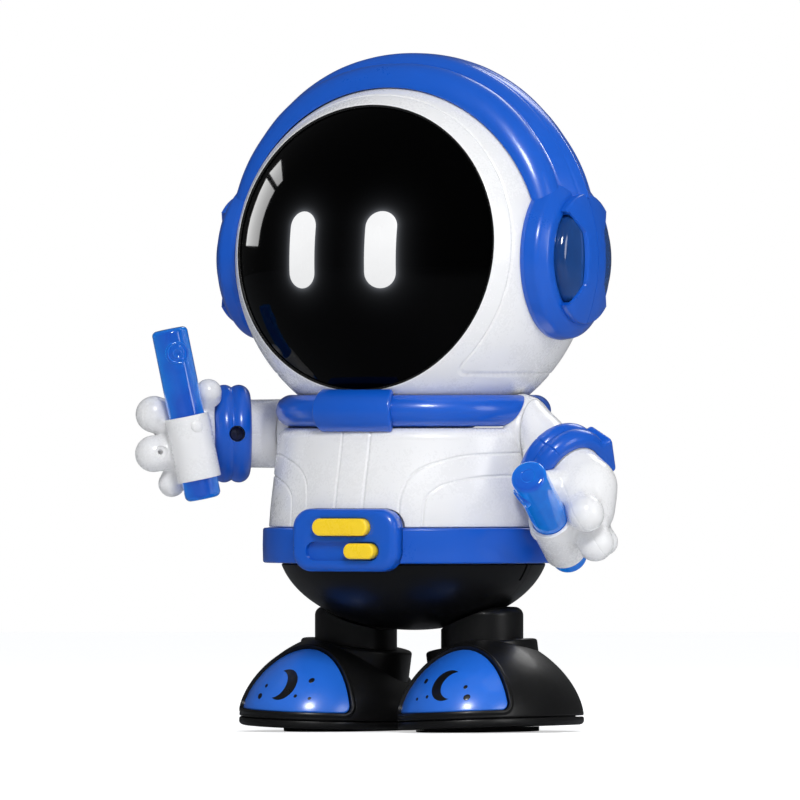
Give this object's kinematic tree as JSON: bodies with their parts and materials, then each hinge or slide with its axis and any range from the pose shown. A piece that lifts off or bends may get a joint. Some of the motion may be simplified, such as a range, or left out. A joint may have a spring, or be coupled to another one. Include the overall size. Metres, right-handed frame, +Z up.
{
  "type": "toy robot",
  "caption": "Dancing spaceman toy robot with a round visored head, turning shoulders holding light sticks, a belt switch panel, and big shoes on inclined ankle collars.",
  "frame": {"origin": "on the floor, at the middle of the bounding box's underside, between the shoes", "axes": "+Z up, the robot faces -Y, +X towards the robot's own left"},
  "size_m": [0.1512, 0.1031, 0.2034],
  "materials": {
    "white_plastic": "glossy white ABS",
    "blue_plastic": "glossy royal blue ABS",
    "black_plastic": "satin black ABS",
    "visor_plastic": "mirror-polished black",
    "eye_lamp": "white light diffuser",
    "ear_lens": "clear dark blue polycarbonate",
    "stick_plastic": "clear blue polycarbonate",
    "yellow_plastic": "satin yellow ABS",
    "circuit_board": "green solder mask",
    "steel": "plated steel",
    "pad_rubber": "matt black rubber",
    "nylon": "natural nylon"
  },
  "bodies": {
    "body": {"torso_front_shell": "white_plastic", "torso_rear_shell": "white_plastic", "collar_ring": "blue_plastic", "collar_clasp": "blue_plastic", "belt": "blue_plastic", "belt_buckle": "blue_plastic", "neck_post": "nylon", "battery_box": "nylon", "battery_cover": "white_plastic", "main_board": "circuit_board", "speaker": "steel", "motor": "steel", "chassis_plate": "nylon", "hip_bowl_front": "black_plastic", "hip_bowl_rear": "black_plastic"},
    "head": {"helmet_front_shell": "white_plastic", "helmet_rear_shell": "white_plastic", "headband_front": "blue_plastic", "headband_rear": "blue_plastic", "ear_ring_left": "blue_plastic", "ear_ring_right": "blue_plastic", "ear_cap_left": "blue_plastic", "ear_cap_right": "blue_plastic", "ear_lens_left": "ear_lens", "ear_lens_right": "ear_lens", "visor": "visor_plastic", "eye_left": "eye_lamp", "eye_right": "eye_lamp", "face_panel": "black_plastic", "head_led_board": "circuit_board"},
    "drive": {"drive_gear": "nylon"},
    "button": {"mode_button": "yellow_plastic"},
    "slider": {"power_slider": "yellow_plastic"},
    "arm_left": {"upper_arm_left": "white_plastic", "cuff_left": "blue_plastic", "cuff_screw_left": "steel", "hand_left": "white_plastic", "light_stick_left": "stick_plastic"},
    "leg_left": {"ankle_post_left": "black_plastic", "hip_gear_left": "nylon"},
    "foot_left": {"foot_collar_left": "black_plastic", "foot_shell_left": "black_plastic", "toe_cap_left": "blue_plastic", "sole_plate_left": "black_plastic", "sole_pad_left": "pad_rubber"},
    "arm_right": {"upper_arm_right": "white_plastic", "cuff_right": "blue_plastic", "cuff_screw_right": "steel", "hand_right": "white_plastic", "light_stick_right": "stick_plastic"},
    "leg_right": {"ankle_post_right": "black_plastic", "hip_gear_right": "nylon"},
    "foot_right": {"foot_collar_right": "black_plastic", "foot_shell_right": "black_plastic", "toe_cap_right": "blue_plastic", "sole_plate_right": "black_plastic", "sole_pad_right": "pad_rubber"}
  },
  "joints": [
    {"name": "head_turn", "type": "hinge", "parent": "body", "child": "head", "pos_m": [0, -0.0023, 0.1415], "axis": [0, 0, 1], "range_deg": [-20, 20]},
    {"name": "shoulder_left", "type": "hinge", "parent": "body", "child": "arm_left", "pos_m": [0.0412, -0.0023, 0.0892], "axis": [1, 0, 0], "range_deg": [-66, 26]},
    {"name": "shoulder_right", "type": "hinge", "parent": "body", "child": "arm_right", "pos_m": [-0.0412, -0.0023, 0.0892], "axis": [1, 0, 0], "range_deg": [-12, 80]},
    {"name": "hip_twist_left", "type": "hinge", "parent": "body", "child": "leg_left", "pos_m": [0.0213, 0.0013, 0.0338], "axis": [0, 0, 1], "range_deg": [-8, 8]},
    {"name": "hip_twist_right", "type": "hinge", "parent": "body", "child": "leg_right", "pos_m": [-0.0213, 0.0013, 0.0338], "axis": [0, 0, 1], "range_deg": [-8, 8]},
    {"name": "drive_gear_spin", "type": "hinge", "parent": "body", "child": "drive", "pos_m": [0, 0.0013, 0.046], "axis": [0, 0, 1], "range_deg": [-8, 8]},
    {"name": "ankle_swivel_left", "type": "hinge", "parent": "leg_left", "child": "foot_left", "pos_m": [0.0213, 0.0013, 0.0239], "axis": [-0.1392, 0, 0.9903], "range_deg": [-8, 20]},
    {"name": "ankle_swivel_right", "type": "hinge", "parent": "leg_right", "child": "foot_right", "pos_m": [-0.0213, 0.0013, 0.0239], "axis": [0.1392, 0, 0.9903], "range_deg": [-20, 8]},
    {"name": "mode_button_press", "type": "slide", "parent": "body", "child": "button", "axis": [0, 1, 0], "range_m": [0, 0.0012], "stiffness_N_per_m": 300, "springref_m": -0.0005},
    {"name": "power_switch_slide", "type": "slide", "parent": "body", "child": "slider", "axis": [-1, 0, 0], "range_m": [0, 0.0125]}
  ],
  "couplings": [
    {"joint": "hip_twist_right", "follows": "hip_twist_left", "ratio": 1},
    {"joint": "drive_gear_spin", "follows": "hip_twist_left", "ratio": -0.90909}
  ]
}
